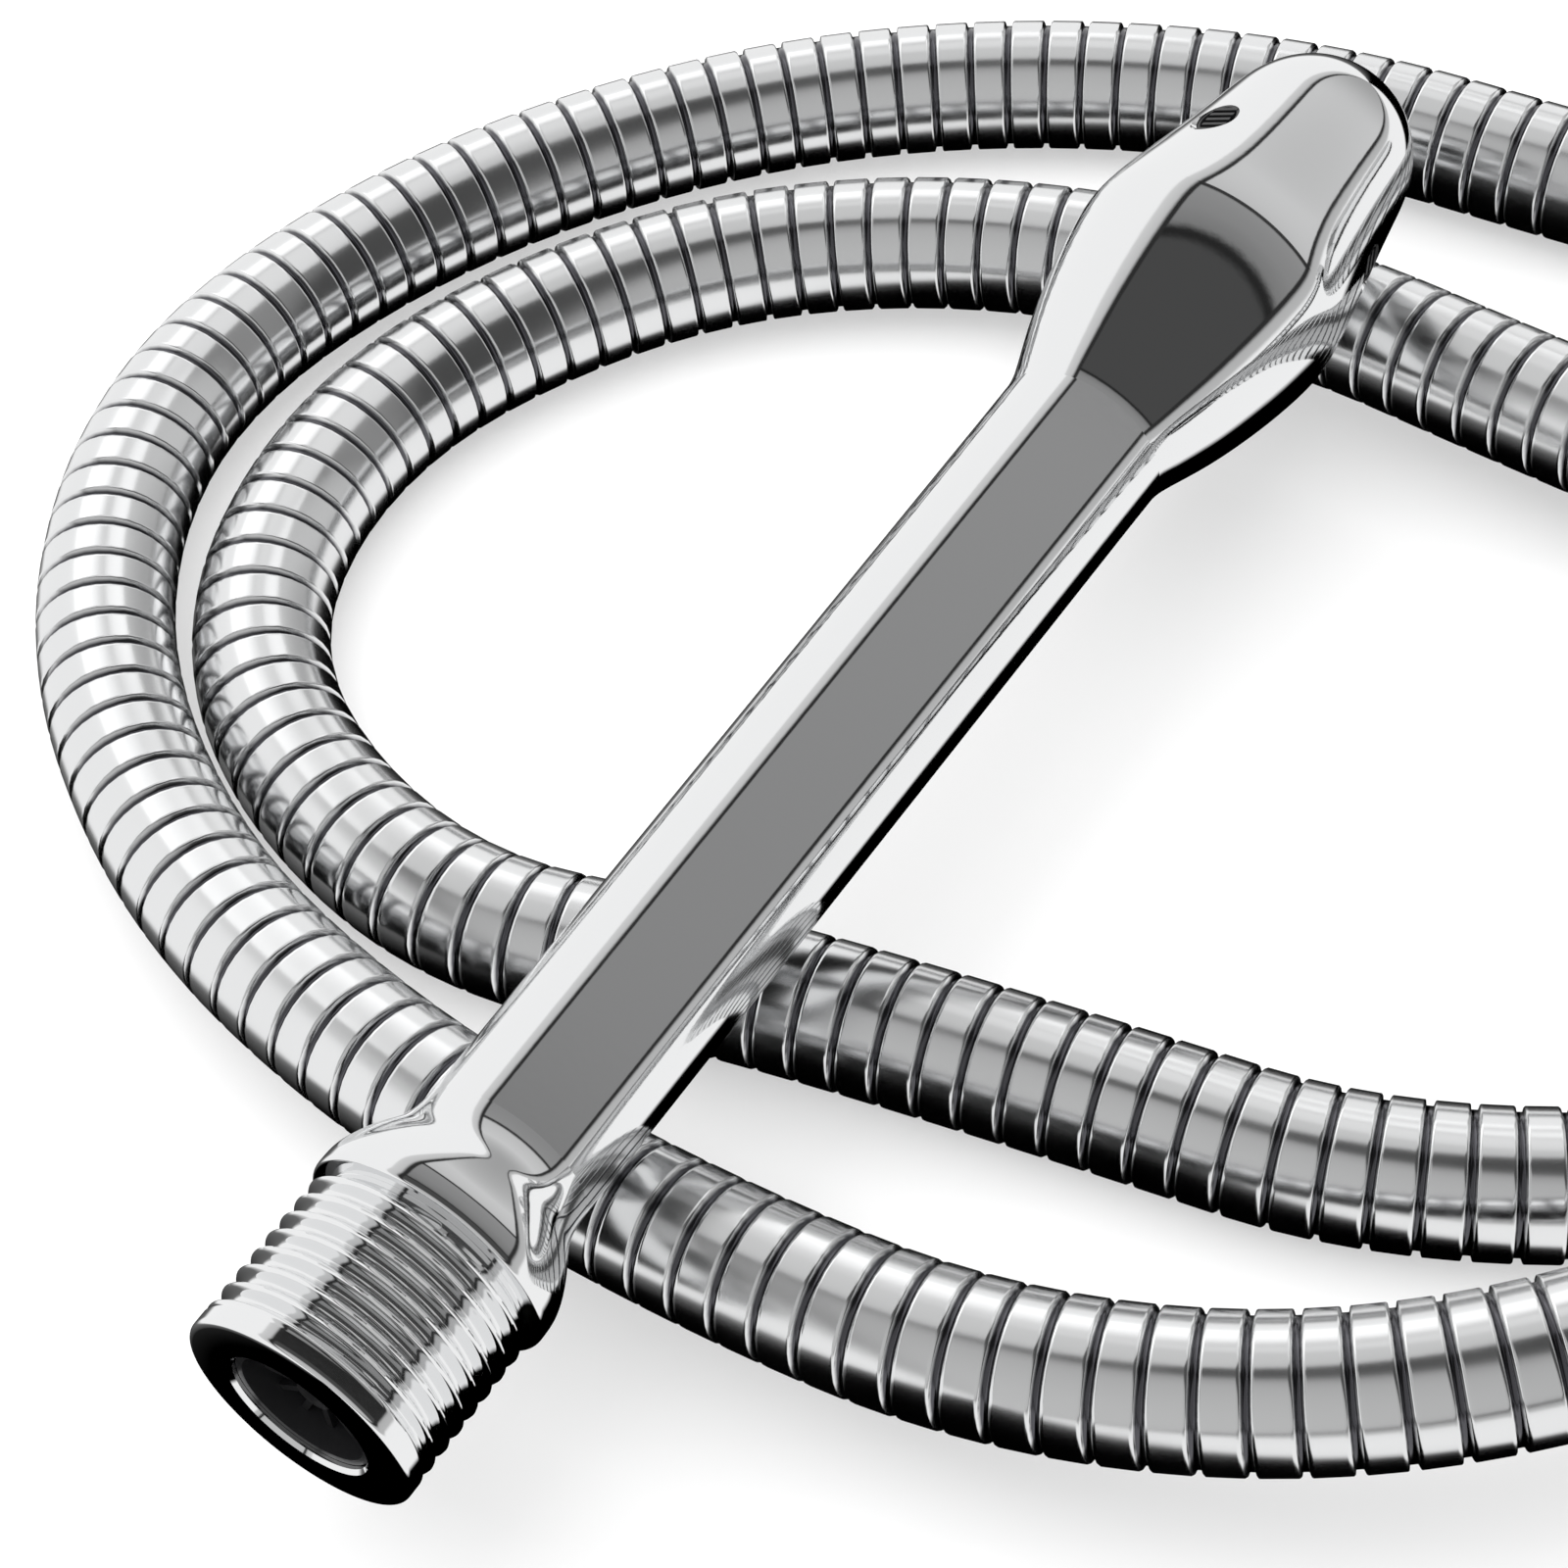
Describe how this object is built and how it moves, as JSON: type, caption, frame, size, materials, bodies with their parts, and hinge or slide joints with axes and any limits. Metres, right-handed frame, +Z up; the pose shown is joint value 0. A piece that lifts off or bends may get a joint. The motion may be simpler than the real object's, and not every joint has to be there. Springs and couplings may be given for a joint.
{
  "type": "handheld shower wand",
  "caption": "Slim chrome handheld water wand with a bulb head, side jets and a threaded inlet, lying on its looped armoured hose with a swivel nut on each end.",
  "frame": {"origin": "centre of the wand's inlet face", "axes": "+X along the wand from inlet to tip, +Z up from the surface that the hose lies on"},
  "size_m": [0.2944, 0.2554, 0.0395],
  "materials": {
    "polished_chrome": "polished",
    "hose_chrome": "polished",
    "black_plastic": "moulded",
    "seal_rubber": "matt",
    "liner": "smooth",
    "brass": "machined",
    "spring_steel": "drawn wire",
    "white_plastic": "moulded"
  },
  "bodies": {
    "hose": {"hose_armour": "hose_chrome", "hose_liner": "liner", "cone_ferrule": "polished_chrome", "cone_tail": "brass", "cone_washer": "seal_rubber", "glide_ring": "white_plastic", "hex_ferrule": "polished_chrome", "hex_tail": "brass", "hex_washer": "seal_rubber"},
    "wand": {"inlet_body": "polished_chrome", "shaft_tube": "polished_chrome", "head_flare": "polished_chrome", "head_cap": "polished_chrome", "jet_inserts": "black_plastic", "flow_core": "black_plastic", "inlet_seal": "seal_rubber", "head_seal": "seal_rubber", "inlet_strainer": "black_plastic", "valve_seat": "black_plastic", "cartridge_seal": "seal_rubber", "valve_cage": "black_plastic", "valve_spring": "spring_steel"},
    "poppet": {"valve_poppet": "white_plastic"},
    "cone_nut": {"cone_nut": "polished_chrome"},
    "hex_nut": {"hex_nut": "polished_chrome"}
  },
  "joints": [
    {"name": "wand_lift", "type": "slide", "parent": "hose", "child": "wand", "axis": [0, 0, 1], "range_m": [0, 0.15]},
    {"name": "poppet_slide", "type": "slide", "parent": "wand", "child": "poppet", "axis": [1, 0, 0], "range_m": [0, 0.0022], "stiffness_N_per_m": 150, "deforming": ["valve_spring"]},
    {"name": "cone_nut_spin", "type": "hinge", "parent": "hose", "child": "cone_nut", "pos_m": [0.27683, -0.10473, -0.01506], "axis": [0.9877, -0.1235, 0.0957], "continuous": true},
    {"name": "hex_nut_spin", "type": "hinge", "parent": "hose", "child": "hex_nut", "pos_m": [0.26599, -0.14556, -0.0142], "axis": [0.9985, 0.0555, 0], "continuous": true}
  ]
}
